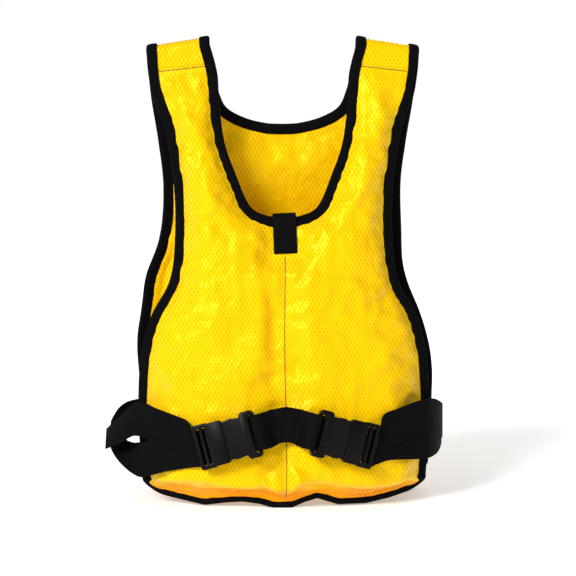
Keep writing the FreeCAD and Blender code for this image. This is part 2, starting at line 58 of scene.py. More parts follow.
# The vest as it was cut: both panels are shallow troughs that lean on each other at the shoulders.
vest = {
    "height": 496 * mm,
    "shoulderY": 6.84 * mm,      # depth of the shoulder fold
    "topDepth": 9 * mm,          # mid-surface of a panel to that fold, at the top
    "hemDepth": 84 * mm,         # and at the hem
    "topCurl": 0.2,              # y = curl * x * x across a panel, at the top
    "hemCurl": 1.67,             # and at the hem
    "hemCorner": 26 * mm,
    "seam": 465.5 * mm,          # panels end here, under the shoulder cloth
    "seamSlope": 0.11,           # it rises towards the neck
    "seamCorner": 136 * mm,
    "shoulderSlope": 0.185,
}

# Half outlines, millimetres, from the shoulder down: (half width, height).
outlines = {
    -1: {"neck": [(80.5, 496), (71, 460), (69, 427), (63.5, 386), (52.5, 354), (37, 319), (19, 308.5),
                  (0, 306.5)],
         "side": [(146, 486), (144, 460), (139, 433), (126, 398), (117, 340), (116, 285), (122, 239),
                  (143, 198), (154, 150), (156, 90), (152, 26)]},
    1: {"neck": [(80.5, 496), (74, 460), (69.5, 440), (61, 422), (41, 410.5), (18, 404.5), (0, 403.5)],
        "side": [(146, 486), (144, 460), (141, 430), (134, 385), (129, 335), (133, 275), (145, 227),
                 (160, 165), (161, 105), (158, 26)]},
}

# How far the hem tape lifts off the floor along its run: (x, lift) in millimetres.
hemWaves = {
    -1: [(-160, 12), (-128, 9), (-86, 1.5), (-63, 5), (-46, 6.5), (-28, 4.5), (-12, 0), (6, 0), (20, 6),
         (34, 10), (56, 2.5), (87, 2), (112, 6), (128, 10), (160, 12)],
    1: [(-170, 14), (-130, 8), (-95, 0.5), (-60, 5), (-20, 1), (25, 6), (60, 0.5), (100, 4), (135, 9),
        (170, 14)],
}


# sRGB hex to the linear colour a shader takes.
def linear(hexText):
    channels = [int(hexText[i:i + 2], 16) / 255 for i in (1, 3, 5)]
    return [c / 12.92 if c <= 0.04045 else ((c + 0.055) / 1.055) ** 2.4 for c in channels] + [1.0]


def selectOnly(obj):
    bpy.ops.object.select_all(action="DESELECT")
    obj.select_set(True)
    bpy.context.view_layer.objects.active = obj


def applyModifiers(obj):
    selectOnly(obj)
    for modifier in list(obj.modifiers):
        bpy.ops.object.modifier_apply(modifier=modifier.name)


def readPoints(obj):
    points = np.empty(len(obj.data.vertices) * 3)
    obj.data.vertices.foreach_get("co", points)
    return points.reshape(-1, 3)


def writePoints(obj, points):
    obj.data.vertices.foreach_set("co", np.ascontiguousarray(points).ravel())
    obj.data.update()


def smoothStep(low, high, value):
    t = np.clip((value - low) / (high - low), 0, 1)
    return t * t * (3 - 2 * t)


# Even samples along a smooth curve through a few points.
def smoothRun(points, count):
    points = np.array(points, float)
    padded = np.vstack([2 * points[0] - points[1], points, 2 * points[-1] - points[-2]])
    dense = []
    for p0, p1, p2, p3 in zip(padded, padded[1:], padded[2:], padded[3:]):
        for t in np.linspace(0, 1, 24, endpoint=False):
            a, b, c = 2 * p1, p2 - p0, 2 * p0 - 5 * p1 + 4 * p2 - p3
            dense.append(0.5 * (a + b * t + c * t * t + (3 * p1 - p0 - 3 * p2 + p3) * t ** 3))
    dense.append(points[-1])
    return evenly(np.array(dense), count)


def evenly(line, count):
    steps = np.linalg.norm(np.diff(line, axis=0), axis=1)
    length = np.concatenate([[0], np.cumsum(steps)])
    wanted = np.linspace(0, length[-1], count)
    return np.stack([np.interp(wanted, length, line[:, k]) for k in range(line.shape[1])], axis=1)


# Smooth seeded noise, -1 to 1, one value for each point.
def wobble(points, cell, seed):
    shift = Vector((seed * 7.31, seed * 3.17, seed * 1.73))
    return np.array([noise.noise(Vector(p) / cell + shift) for p in points])


def panelY(facing, x, z, off=0.0):
    share = z / vest["height"]
    depth = vest["hemDepth"] + (vest["topDepth"] - vest["hemDepth"]) * share
    curl = vest["hemCurl"] + (vest["topCurl"] - vest["hemCurl"]) * share
    return vest["shoulderY"] + facing * (depth + off - curl * x * x)


# The back panel hangs a little to one side above the waist and to the other below it.
backHang = {
    "above": (-6.5 * mm, 238 * mm, 34 * mm),     # shift, its height and its reach
    "below": (5 * mm, 115 * mm, 190 * mm),       # shift, and the heights that it fades between
}


def sway(facing, z):
    shift, middle, reach = backHang["above"]
    above = shift * np.exp(-((z - middle) / reach) ** 2)
    shift, low, high = backHang["below"]
    below = shift * (1 - smoothStep(low, high, z))
    return (above + below) * (facing > 0)


def panelNormal(facing, x, z):
    step = 0.5 * mm
    slopeX = (panelY(facing, x + step, z) - panelY(facing, x - step, z)) / (2 * step)
    slopeZ = (panelY(facing, x, z + step) - panelY(facing, x, z - step)) / (2 * step)
    normal = np.stack([-slopeX, np.ones_like(slopeX), -slopeZ], axis=-1) * facing
    return normal / np.linalg.norm(normal, axis=-1, keepdims=True)


def hemLift(facing, x, z):
    knots = np.array(hemWaves[facing], float) * mm
    lift = np.interp(x, knots[:, 0], knots[:, 1])
    return lift * (1 - smoothStep(0, 34 * mm, z))


# The free hem below the foam tucks in under it.
def hemLean(z):
    return -9 * mm * (1 - smoothStep(0, 27 * mm, z)) ** 1.3


def startMaterial(name, colour, roughness, **sockets):
    material = bpy.data.materials.new(name)
    material.use_nodes = True
    shader = material.node_tree.nodes["Principled BSDF"]
    shader.inputs["Base Color"].default_value = linear(colour)
    shader.inputs["Roughness"].default_value = roughness
    for socket, value in sockets.items():
        shader.inputs[socket.replace("_", " ")].default_value = value
    return material, shader


# Adds a node: its inputs are values, nodes or (node, output), and the rest are its own settings.
def addNode(material, kind, inputs=None, **settings):
    tree = material.node_tree
    node = tree.nodes.new(kind)
    for key, value in settings.items():
        setattr(node, key, value)
    for socket, value in (inputs or {}).items():
        if isinstance(value, bpy.types.Node):
            value = (value, 0)
        if isinstance(value, tuple):
            source, output = value
            tree.links.new(source.outputs[output], node.inputs[socket])
        else:
            node.inputs[socket].default_value = value
    return node


ripstopCloth = {
    "across": 4.5 * mm,          # width and height of one diamond of the lattice
    "along": 7.4 * mm,
    "threads": "#FAD60A",
    "between": "#EAB604",
    "patches": 35.7 * mm,        # size of the cloudy changes of shade
    "crumples": 26.3 * mm,       # size of the small creases left to the bump
    "hemShadeLow": 26 * mm,           # below here the free hem, in the shade under the foam, is painted a deeper orange as painted shade
    "hemShadeHigh": 33 * mm,
}


# Coated nylon ripstop: shiny, crumpled, with a lattice of thicker threads in small upright diamonds.
# Its gloss is yellow, because the coating is clear over dyed cloth and the folds light each other.
def makeRipstop():
    material, shader = startMaterial("coatedNylonRipstop", "#F4C206", 0.3, Specular_IOR_Level=0.5,
                                     Specular_Tint=linear("#FFE24A"))
    place = addNode(material, "ShaderNodeTexCoord")
    spot = {"Vector": (place, "Object")}
    xyz = addNode(material, "ShaderNodeSeparateXYZ", {0: (place, "Object")})
    across = addNode(material, "ShaderNodeMath", {0: (xyz, "X"), 1: math.pi / ripstopCloth["across"]},
                     operation="MULTIPLY")
    along = addNode(material, "ShaderNodeMath", {0: (xyz, "Z"), 1: math.pi / ripstopCloth["along"]},
                    operation="MULTIPLY")
    lines = []
    for slope in ("ADD", "SUBTRACT"):
        phase = addNode(material, "ShaderNodeMath", {0: across, 1: along}, operation=slope)
        wave = addNode(material, "ShaderNodeMath", {0: phase}, operation="SINE")
        lines.append(addNode(material, "ShaderNodeMath", {0: wave}, operation="ABSOLUTE"))
    cell = addNode(material, "ShaderNodeMath", {0: lines[0], 1: lines[1]},
                   operation="MULTIPLY")         # 1 in the middle of a diamond, 0 on its threads
    cloudy = addNode(material, "ShaderNodeTexNoise",
                     spot | {"Scale": 1 / ripstopCloth["patches"], "Detail": 3.0})
    tint = addNode(material, "ShaderNodeMix", {"Factor": cell, "A": linear(ripstopCloth["threads"]),
                                               "B": linear(ripstopCloth["between"])}, data_type="RGBA")
    uneven = addNode(material, "ShaderNodeMix",
                     {"Factor": cloudy, "A": (tint, "Result"), "B": linear("#FFEBC0")},
                     data_type="RGBA", blend_type="MULTIPLY")
    # Painted shade: the free hem below the foam, which lies in its shade, is multiplied to a deeper orange.
    height = addNode(material, "ShaderNodeMath", {0: cloudy, 1: 16 * mm, 2: (xyz, "Z")},
                     operation="MULTIPLY_ADD")
    low = addNode(material, "ShaderNodeMapRange",
                  {"Value": height, "From Min": ripstopCloth["hemShadeHigh"],
                   "From Max": ripstopCloth["hemShadeLow"]}, interpolation_type="SMOOTHSTEP")
    hem = addNode(material, "ShaderNodeMix",
                  {"Factor": low, "A": (uneven, "Result"), "B": linear("#FAC8A0")},
                  data_type="RGBA", blend_type="MULTIPLY")
    material.node_tree.links.new(hem.outputs["Result"], shader.inputs["Base Color"])
    crumple = addNode(material, "ShaderNodeTexNoise",
                      spot | {"Scale": 1 / ripstopCloth["crumples"], "Detail": 3.0, "Distortion": 1.2})
    soft = addNode(material, "ShaderNodeBump", {"Height": crumple, "Strength": 0.6, "Distance": 4 * mm})
    lattice = addNode(material, "ShaderNodeBump",
                      {"Height": cell, "Normal": soft, "Strength": 0.55, "Distance": -0.35 * mm})
    material.node_tree.links.new(lattice.outputs[0], shader.inputs["Normal"])
    return material


# Woven polyester on its own UV map, which is in millimetres: dull black, painted paler on the crests of its
# ribs as painted highlight and darker between them as painted shade, with slanted picks across them, drawn
# a little coarser than real so that they show.
def makeWoven(name, colour, ribHighlight, roughness, rib, pick, depth):
    material, shader = startMaterial(name, colour, roughness, Specular_IOR_Level=0.04)
    uv = addNode(material, "ShaderNodeUVMap")
    xyz = addNode(material, "ShaderNodeSeparateXYZ", {0: uv})
    down = addNode(material, "ShaderNodeMath", {0: (xyz, "X"), 1: math.pi / pick}, operation="MULTIPLY")
    wide = addNode(material, "ShaderNodeMath", {0: (xyz, "Y"), 1: math.pi / rib}, operation="MULTIPLY")
    ribWave = addNode(material, "ShaderNodeMath", {0: wide}, operation="SINE")
    ridge = addNode(material, "ShaderNodeMath", {0: ribWave}, operation="ABSOLUTE")
    slant = addNode(material, "ShaderNodeMath", {0: ridge, 1: 1.6, 2: down}, operation="MULTIPLY_ADD")
    pickWave = addNode(material, "ShaderNodeMath", {0: slant}, operation="SINE")
    cross = addNode(material, "ShaderNodeMath", {0: pickWave}, operation="ABSOLUTE")
    weave = addNode(material, "ShaderNodeMath", {0: ridge, 1: cross}, operation="MULTIPLY")
    # Painted highlight on the crests of the weave, and painted shade in the hollows between them.
    tint = addNode(material, "ShaderNodeMix", {"Factor": weave, "A": linear(colour), "B": linear(ribHighlight)},
                   data_type="RGBA")
    material.node_tree.links.new(tint.outputs["Result"], shader.inputs["Base Color"])
    bump = addNode(material, "ShaderNodeBump", {"Height": weave, "Strength": 0.7, "Distance": depth})
    material.node_tree.links.new(bump.outputs[0], shader.inputs["Normal"])
    return material


# Moulded acetal: near black and satin, with a faint spark-eroded grain that breaks up its highlights.
def makeAcetal():
    material, shader = startMaterial("mouldedAcetal", "#080707", 0.38, Specular_IOR_Level=0.12)
    place = addNode(material, "ShaderNodeTexCoord")
    grain = addNode(material, "ShaderNodeTexNoise",
                    {"Vector": (place, "Object"), "Scale": 1 / (0.714 * mm), "Detail": 2.0})
    bump = addNode(material, "ShaderNodeBump", {"Height": grain, "Strength": 0.25, "Distance": 0.12 * mm})
    material.node_tree.links.new(bump.outputs[0], shader.inputs["Normal"])
    rough = addNode(material, "ShaderNodeMapRange", {"Value": grain, "To Min": 0.3, "To Max": 0.48})
    material.node_tree.links.new(rough.outputs[0], shader.inputs["Roughness"])
    return material


# Bonded polyester thread: brown where the yellow cloth glows through it, matt, with a twisted surface.
def makeThread():
    material, shader = startMaterial("bondedThread", "#5A4408", 0.6, Sheen_Weight=0.2)
    place = addNode(material, "ShaderNodeTexCoord")
    ply = addNode(material, "ShaderNodeTexNoise", {"Vector": (place, "Object"), "Scale": 1 / (0.4 * mm)})
    bump = addNode(material, "ShaderNodeBump", {"Height": ply, "Strength": 0.3, "Distance": 0.1 * mm})
    material.node_tree.links.new(bump.outputs[0], shader.inputs["Normal"])
    return material


ripstop = makeRipstop()
tapeCloth = makeWoven("foldedPolyesterTape", "#040405", "#0E0E11", 0.75, 1.1, 1.4, 0.15 * mm)
webbing = makeWoven("wovenPolyesterWebbing", "#050506", "#121214", 0.7, 2.3, 2.0, 0.3 * mm)
acetal = makeAcetal()
thread = makeThread()
print("materials done")


camera = {
    "target": (3 * mm, -60 * mm, 234.3 * mm),
    "distance": 2.4,
    "rise": 6.5,                 # degrees above the vest
    "turn": -2.2,                # degrees to its side
    "field": 0.609,              # width of the view at the target
}

studio = {
    "key": 2.6,
    "keySpread": 20,             # degrees; softness of its shadows
    "keyFrom": (-0.85, -1.0, 0.85),
    "leftPanel": ((-0.9, -1.7, 1.1), 0.9, 5),        # place, size and power
    "rightPanel": ((1.5, -1.3, 0.5), 0.9, 2.25),
    "rearPanel": ((0.9, 2.0, 1.3), 1.2, 22),
    "aim": (0, 0, 0.25),
    "world": 0.31,
    "floor": 80,
}


def addCamera():
    rise = math.radians(camera["rise"])
    target = Vector(camera["target"])
    turn = math.radians(camera["turn"])
    place = target + Vector((math.sin(turn) * math.cos(rise), -math.cos(turn) * math.cos(rise),
                             math.sin(rise))) * camera["distance"]
    bpy.ops.object.camera_add(location=place)
    cam = bpy.context.object
    cam.rotation_euler = (target - place).to_track_quat("-Z", "Y").to_euler()
    cam.data.lens = cam.data.sensor_width * camera["distance"] / camera["field"]
    bpy.context.scene.camera = cam


def addLight(name):
    place, size, power = studio[name]
    bpy.ops.object.light_add(type="AREA", location=place)
    lamp = bpy.context.object
    lamp.name = name
    lamp.data.size = size
    lamp.data.energy = power
    lamp.rotation_euler = (Vector(studio["aim"]) - Vector(place)).to_track_quat("-Z", "Y").to_euler()


def addStudio():
    bpy.ops.object.light_add(type="SUN")
    sun = bpy.context.object
    sun.name = "softKey"
    sun.data.energy = studio["key"]
    sun.data.angle = math.radians(studio["keySpread"])
    sun.rotation_euler = Vector(studio["keyFrom"]).to_track_quat("Z", "Y").to_euler()
    for name in ("leftPanel", "rightPanel", "rearPanel"):
        addLight(name)
    world = bpy.data.worlds.new("paleStudio")
    world.use_nodes = True
    world.node_tree.nodes["Background"].inputs["Color"].default_value = linear("#FFFFFF")
    seen = addNode(world, "ShaderNodeLightPath")     # the backdrop is plain white, whatever it lights
    strength = addNode(world, "ShaderNodeMath", {0: (seen, "Is Camera Ray"), 1: studio["world"]},
                       operation="MAXIMUM")
    world.node_tree.links.new(strength.outputs[0], world.node_tree.nodes["Background"].inputs["Strength"])
    bpy.context.scene.world = world
    bpy.context.scene.view_settings.view_transform = "Standard"
    bpy.ops.mesh.primitive_plane_add(size=studio["floor"], location=(0, 0, 0))
    floor = bpy.context.object
    floor.name = "studioFloor"
    material, shader = startMaterial("paleFloor", "#FFFFFF", 0.85, Specular_IOR_Level=0.1,
                                     Emission_Color=linear("#FFFFFF"), Emission_Strength=0.3)
    floor.data.materials.append(material)


addCamera()
addStudio()
print("camera and light done")


panels = {
    "voxel": 4.2 * mm,
    "blank": 16 * mm,            # thickness of the block that the skin is wrapped from
    "cloth": 1.5 * mm,           # panel's edge, half thickness, inside the tape
    "tape": 11 * mm,
    "foamOut": {-1: 17 * mm, 1: 16 * mm},
    "foamIn": 3.5 * mm,
    "roll": 22 * mm,             # width of the rounded edge of the foam
    "foamFoot": 21 * mm,
    "foamTop": 452 * mm,
    "pressure": 3.0,
    "growth": -0.025,
    "frames": 18,
    "cap": {-1: 5 * mm, 1: 7 * mm},      # the front lies under the belt, so it may swell less
}

# Soft folds in the cloth: start and end (x, z), width and height in millimetres, by facing.
folds = {
    -1: [
        # left strap
        ((-140, 447), (-104, 414), 5, -3.8), ((-137, 424), (-106, 396), 4.5, -3.0),
        ((-134, 452), (-98, 436), 4, 2.4), ((-120, 440), (-98, 402), 4, 2.2),
        ((-104, 404), (-92, 372), 5, -2.2), ((-128, 392), (-100, 352), 5, 1.8),
        # right strap
        ((117, 456), (126, 408), 5, -3.2), ((96, 446), (110, 398), 6, 2.6),
        ((88, 420), (96, 366), 5, -2.4), ((124, 400), (104, 352), 6, 2.0), ((80, 378), (88, 336), 5, 1.8),
        # under the neck
        ((-78, 338), (-24, 288), 5, -2.4), ((-70, 322), (-34, 296), 4, 1.8),
        ((-50, 296), (-14, 262), 4, -1.8), ((72, 342), (22, 292), 5, -2.6), ((58, 322), (24, 300), 4, 2.0),
        ((52, 300), (14, 262), 4, -2.0), ((-92, 352), (-62, 300), 6, 1.8), ((90, 352), (66, 302), 6, 1.8),
        # beside the centre seam
        ((-15, 262), (-10, 95), 7, -4.0), ((11, 196), (12, 118), 6, -2.2), ((5, 232), (22, 250), 4, -2.2),
        ((4, 214), (26, 226), 4, -2.4), ((4, 196), (24, 205), 4, -2.0), ((4, 172), (18, 186), 4, -2.0),
        ((-5, 208), (-24, 226), 4, -1.8), ((-4, 182), (-20, 192), 4, -1.8),
        ((6, 140), (26, 176), 5, -2.0), ((-6, 120), (-30, 160), 5, -1.8), ((4, 112), (34, 120), 5, -1.6),
        ((3, 60), (38, 30), 5, -3.0), ((-4, 58), (-36, 32), 5, -2.6), ((2, 48), (22, 24), 4, 2.4),
        # across the chest and waist
        ((-18, 226), (-96, 132), 16, -2.0), ((28, 214), (96, 140), 16, -2.0),
        ((60, 122), (130, 172), 9, 1.6), ((-112, 330), (-90, 268), 7, -2.0),
        ((108, 322), (88, 262), 7, -2.0), ((-116, 236), (-70, 214), 7, -2.0),
        ((120, 228), (78, 212), 7, -2.0), ((-130, 206), (-88, 190), 6, 1.8),
        ((134, 204), (92, 190), 6, 1.8), ((-150, 62), (-96, 40), 6, -2.2), ((150, 64), (100, 40), 6, -2.2),
    ],
    1: [
        ((-60, 380), (40, 350), 9, -2.2), ((-14, 392), (6, 318), 7, 3.0), ((-50, 390), (-16, 330), 7, -2.4),
        ((44, 396), (20, 330), 8, -2.4), ((-110, 260), (-40, 240), 9, -2.2),
        ((110, 300), (30, 260), 9, -2.2), ((-90, 60), (-20, 44), 8, -2.2), ((100, 70), (30, 40), 8, -2.4),
        ((0, 200), (60, 150), 9, -1.8), ((-70, 180), (-20, 120), 9, -1.8),
        ((-140, 120), (-90, 90), 8, -2.0), ((150, 140), (100, 110), 8, -2.0),
    ],
}

# How strongly each kind of crease stands out, and its size.
creasing = {
    "folds": 1.45,
    "billow": (2.2 * mm, 42 * mm),
    "ridge": (2.0 * mm, 32 * mm),
    "pucker": (1.9 * mm, 7 * mm),        # along the centre seam
    "puckerReach": 13 * mm,
    "gather": (2.3 * mm, 8 * mm, 19 * mm),       # at right angles to the tapes
    "gatherReach": 15 * mm,
    "inner": 0.35,                       # the lining creases less than the shell
}


def seamHeight(x):
    return vest["seam"] + (vest["seamCorner"] - abs(x)) * vest["seamSlope"]


# The panel's closed edge in (x, z), drawn in from the real edge by an inset.
def panelLoop(facing, inset, count):
    neck = smoothRun(np.array(outlines[facing]["neck"]) * mm, 260)
    side = smoothRun(np.array(outlines[facing]["side"]) * mm, 360)
    neck = neck[neck[:, 1] < seamHeight(75 * mm)]
    side = side[side[:, 1] < seamHeight(140 * mm)]
    corner = vest["hemCorner"]
    turn = np.linspace(0, math.pi / 2, 16)[1:]
    centre = side[-1][0] - corner
    arc = np.stack([centre + corner * np.cos(turn), corner - corner * np.sin(turn)], axis=1)
    half = np.vstack([side, arc])
    right = np.vstack([neck[::-1], half])
    loop = np.vstack([right, (right * [-1, 1])[::-1][:-1]])
    loop = evenly(np.vstack([loop, loop[:1]]), count + 1)[:-1]
    along = np.roll(loop, -1, axis=0) - np.roll(loop, 1, axis=0)
    along /= np.linalg.norm(along, axis=1, keepdims=True)
    inward = np.stack([along[:, 1], -along[:, 0]], axis=1)
    if loop[:, 0] @ np.roll(loop[:, 1], -1) - np.roll(loop[:, 0], -1) @ loop[:, 1] > 0:
        inward = -inward
    return loop + inward * inset


def nearness(loop):
    tree = KDTree(len(loop))
    for index, (x, z) in enumerate(loop):
        tree.insert((x, 0, z), index)
    tree.balance()
    return tree


def makePanel(name, facing):
    loop = panelLoop(facing, panels["cloth"], 420)
    bpy.ops.mesh.primitive_circle_add(vertices=len(loop), radius=0.1, fill_type="NGON")
    panel = bpy.context.object
    panel.name = name
    half = panels["blank"] / 2
    writePoints(panel, np.stack([loop[:, 0], np.full(len(loop), -half), loop[:, 1]], axis=1))
    bpy.ops.object.mode_set(mode="EDIT")
    bpy.ops.mesh.select_all(action="SELECT")
    bpy.ops.mesh.extrude_region_move(TRANSFORM_OT_translate={"value": (0, panels["blank"], 0)})
    bpy.ops.mesh.select_all(action="SELECT")
    bpy.ops.mesh.normals_make_consistent(inside=False)
    bpy.ops.object.mode_set(mode="OBJECT")
    remesh = panel.modifiers.new("skin", "REMESH")
    remesh.mode = "VOXEL"
    remesh.voxel_size = panels["voxel"]
    applyModifiers(panel)
    rest, edge = shapePanel(panel, facing)
    puffUp(panel, facing, rest, edge)
    if facing < 0:
        snapMiddle(panel)
    crease(panel, facing)
    subdivide = panel.modifiers.new("finer", "SUBSURF")
    subdivide.levels = subdivide.render_levels = 1
    applyModifiers(panel)
    bpy.ops.object.shade_smooth()
    panel.data.materials.append(ripstop)
    print(name, "done,", len(panel.data.polygons), "faces")
    return panel


# Brings the mesh onto the centre seam and joins what falls together there.
def snapMiddle(panel):
    points = readPoints(panel)
    near = np.abs(points[:, 0]) < 2.3 * mm
    points[near, 0] = 0
    writePoints(panel, points)
    selectOnly(panel)
    bpy.ops.object.mode_set(mode="EDIT")
    bpy.ops.mesh.select_all(action="SELECT")
    bpy.ops.mesh.remove_doubles(threshold=0.6 * mm)
    bpy.ops.object.mode_set(mode="OBJECT")


# Wraps the flat block onto the panel's curve, with a rounded slab of foam inside.
def shapePanel(panel, facing):
    points = readPoints(panel)
    x, z = points[:, 0], points[:, 2]
    tree = nearness(panelLoop(facing, 0, 1400))
    edge = np.array([tree.find((px, 0, pz))[2] for px, pz in zip(x, z)])
    inside = edge - panels["tape"]
    foot = panels["foamFoot"] + 2.5 * mm * np.sin(x / (23 * mm)) - 9 * mm * np.exp(-(x / (13 * mm)) ** 2)
    inside = np.minimum(inside, (z - foot) * 1.7)
    full = np.clip(inside / panels["roll"], 0, 1)
    dome = np.sqrt(1 - (1 - full) ** 2)
    dome = dome * (0.25 + 0.75 * smoothStep(panels["foamTop"], panels["foamTop"] - 70 * mm, z))
    dome = dome * smoothStep(seamHeight(110 * mm), seamHeight(110 * mm) - 20 * mm, z)
    if facing < 0:
        dome = dome * np.where(z < 300 * mm, 1 - 0.42 * np.exp(-(x / (5.5 * mm)) ** 2), 1)
        beside = np.hypot(np.maximum(np.abs(x) - 11 * mm, 0), np.maximum(268 * mm - z, 0))
        dome = dome * (0.12 + 0.88 * smoothStep(0, 24 * mm, beside))
    out = panels["cloth"] + panels["foamOut"][facing] * dome
    back = panels["cloth"] + panels["foamIn"] * dome
    layer = np.clip(points[:, 1] / (panels["blank"] / 2), -1, 1) * facing
    off = -back + (out + back) * (layer + 1) / 2
    lifted = z + hemLift(facing, x, z)
    y = panelY(facing, x, z, off + hemLean(z))
    rest = np.stack([x + sway(facing, z), y, lifted], axis=1)
    writePoints(panel, rest)
    return rest, edge


# Slack cloth over the foam, blown up a little: the sewn edges stay, the rest buckles and settles.
slackCloth = {
    "quality": 6,
    "mass": 0.12,
    "tension_stiffness": 18,
    "compression_stiffness": 10,
    "shear_stiffness": 6,
    "bending_stiffness": 0.06,
    "use_pressure": True,
    "uniform_pressure_force": panels["pressure"],
    "shrink_min": panels["growth"],
}


def puffUp(panel, facing, rest, edge):
    selectOnly(panel)
    x, z = rest[:, 0], rest[:, 2]
    held = (edge < panels["tape"] + 1.5 * mm) | (z > seamHeight(110 * mm) - 5 * mm)
    if facing < 0:
        held |= (np.abs(x) < 2.2 * mm) & (z < 306 * mm)
        held |= (np.abs(x) < 12 * mm) & (z > 270 * mm)
    group = panel.vertex_groups.new(name="sewn")
    group.add(np.nonzero(held)[0].tolist(), 1.0, "REPLACE")
    cloth = panel.modifiers.new("cloth", "CLOTH")
    for setting, value in slackCloth.items():
        setattr(cloth.settings, setting, value)
    cloth.settings.vertex_group_mass = "sewn"
    cloth.settings.effector_weights.gravity = 0
    cloth.collision_settings.use_collision = False
    cloth.point_cache.frame_start = 1
    cloth.point_cache.frame_end = panels["frames"]
    scene = bpy.context.scene
    scene.frame_set(0)                   # the cloth only starts when it is stepped onto its first frame
    for number in range(1, panels["frames"] + 1):
        scene.frame_set(number)
    evaluated = panel.evaluated_get(bpy.context.evaluated_depsgraph_get())
    moved = np.empty(len(panel.data.vertices) * 3)
    evaluated.data.vertices.foreach_get("co", moved)
    move = moved.reshape(-1, 3) - rest
    panel.modifiers.remove(cloth)
    scene.frame_set(1)
    length = np.linalg.norm(move, axis=1, keepdims=True)
    move *= np.minimum(1, panels["cap"][facing] / np.maximum(length, 1e-9))
    writePoints(panel, rest + move)
    print("  cloth settled, moved at most", round(float(length.max()) * 1000, 1), "mm")


# Sculpted folds and puckers that the seams pull into the cloth.
def crease(panel, facing):
    points = readPoints(panel)
    x, z = points[:, 0], points[:, 2]
    push = np.zeros(len(points))
    for (x0, z0), (x1, z1), width, height in folds[facing]:
        start, end = np.array([x0, z0]) * mm, np.array([x1, z1]) * mm
        span = end - start
        t = np.clip(((x - start[0]) * span[0] + (z - start[1]) * span[1]) / (span @ span), 0, 1)
        away = np.hypot(x - start[0] - t * span[0], z - start[1] - t * span[1])
        crest = np.sin(math.pi * np.clip(t, 0.04, 0.96))
        push += creasing["folds"] * height * mm * np.exp(-(away / (width * mm)) ** 2) * crest
    flat = np.stack([x, np.zeros_like(x), z], axis=1)
    high, size = creasing["billow"]
    push += high * wobble(flat * [1, 1, 0.6], size, 2 + facing)
    high, size = creasing["ridge"]
    ridges = 1 - 2.6 * np.abs(wobble(flat * [1.3, 1, 0.7], size, 24 + facing))
    push += high * np.clip(ridges, 0, 1) ** 2
    if facing < 0:
        high, size = creasing["pucker"]
        puckers = wobble(flat * [0.25, 1, 1], size, 5) * np.exp(-np.abs(x) / creasing["puckerReach"])
        push += high * puckers * (z < 300 * mm) * (np.abs(x) > 0.2 * mm)
    outer = (points[:, 1] - panelY(facing, x, z)) * facing > 0.5 * mm
    tree = nearness(panelLoop(facing, 0, 1400))
    nearest = [tree.find((px, 0, pz)) for px, pz in zip(x, z)]
    edge = np.array([found[2] for found in nearest])
    along = np.array([[found[1] * 1.6 * mm, found[2] * 0.35, 0] for found in nearest])
    high, fine, coarse = creasing["gather"]
    gathers = wobble(along, fine, 9 + facing) + 0.6 * wobble(along, coarse, 15 + facing)
    reach = creasing["gatherReach"]
    push += high * gathers * np.exp(-((edge - reach) / reach) ** 2)
    push *= smoothStep(9 * mm, 15 * mm, edge) * np.where(outer, 1.0, creasing["inner"])
    normal = panelNormal(facing, x, z)
    writePoints(panel, points + normal * push[:, None])


frontPanel = makePanel("frontPanel", -1)
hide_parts("front_outer_shell", "front_lining", "front_foam_left", "front_foam_right")
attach(frontPanel, "front")
backPanel = makePanel("backPanel", 1)
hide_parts("back_outer_shell", "back_lining", "back_foam")
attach(backPanel, "root")


# A strip of cloth through rows of points: rows run along it, and each row goes across it.
def makeRibbon(name, rows, thickness, material, closed=False, level=1):
    along, across = rows.shape[:2]
    bpy.ops.mesh.primitive_grid_add(x_subdivisions=across - 1, y_subdivisions=along - 1, size=1)
    strip = bpy.context.object
    strip.name = name
    writePoints(strip, rows.reshape(-1, 3))
    middle = rows[:, across // 2]
    length = np.concatenate([[0], np.cumsum(np.linalg.norm(np.diff(middle, axis=0), axis=1))])
    width = np.concatenate([[0], np.cumsum(np.linalg.norm(np.diff(rows[0], axis=0), axis=1))])
    corner = np.empty(len(strip.data.loops), int)
    strip.data.loops.foreach_get("vertex_index", corner)
    laid = np.stack([length[corner // across], width[corner % across]], axis=1) / mm
    strip.data.uv_layers.active.data.foreach_set("uv", laid.ravel())
    if closed:
        bpy.ops.object.mode_set(mode="EDIT")
        bpy.ops.mesh.select_all(action="SELECT")
        bpy.ops.mesh.remove_doubles(threshold=0.02 * mm)
        bpy.ops.object.mode_set(mode="OBJECT")
    solid = strip.modifiers.new("thickness", "SOLIDIFY")
    solid.thickness = thickness
    solid.offset = 0
    solid.use_even_offset = True
    if level:
        finer = strip.modifiers.new("finer", "SUBSURF")
        finer.levels = finer.render_levels = level
    applyModifiers(strip)
    bpy.ops.object.mode_set(mode="EDIT")
    bpy.ops.mesh.select_all(action="SELECT")
    bpy.ops.mesh.normals_make_consistent(inside=False)
    bpy.ops.object.mode_set(mode="OBJECT")
    bpy.ops.object.shade_smooth()
    strip.data.materials.append(material)
    return strip


tape = {
    "width": 11 * mm,
    "half": 2.7 * mm,            # half thickness of the folded edge
    "cloth": 0.8 * mm,
    "neckTop": 488 * mm,         # where the half turns over the shoulder start
    "armTop": 480.5 * mm,
}


# Places, outward normals and inward directions along an edge given in (x, z).
def panelEdge(facing, flat, towards):
    x, z = flat[:, 0], flat[:, 1]
    along = np.gradient(flat, axis=0)
    along /= np.linalg.norm(along, axis=1, keepdims=True)
    inward = np.stack([along[:, 1], -along[:, 0]], axis=1) * towards
    normal = panelNormal(facing, x, z)
    lifted = z + hemLift(facing, x, z)
    place = np.stack([x + sway(facing, z), panelY(facing, x, z, hemLean(z)), lifted], axis=1)
    step = 0.5 * mm
    ahead = panelY(facing, x + inward[:, 0] * step, z + inward[:, 1] * step)
    rise = (ahead - panelY(facing, x, z)) / step
    inside = np.stack([inward[:, 0], rise, inward[:, 1]], axis=1)
    inside /= np.linalg.norm(inside, axis=1, keepdims=True)
    return place, normal, inside


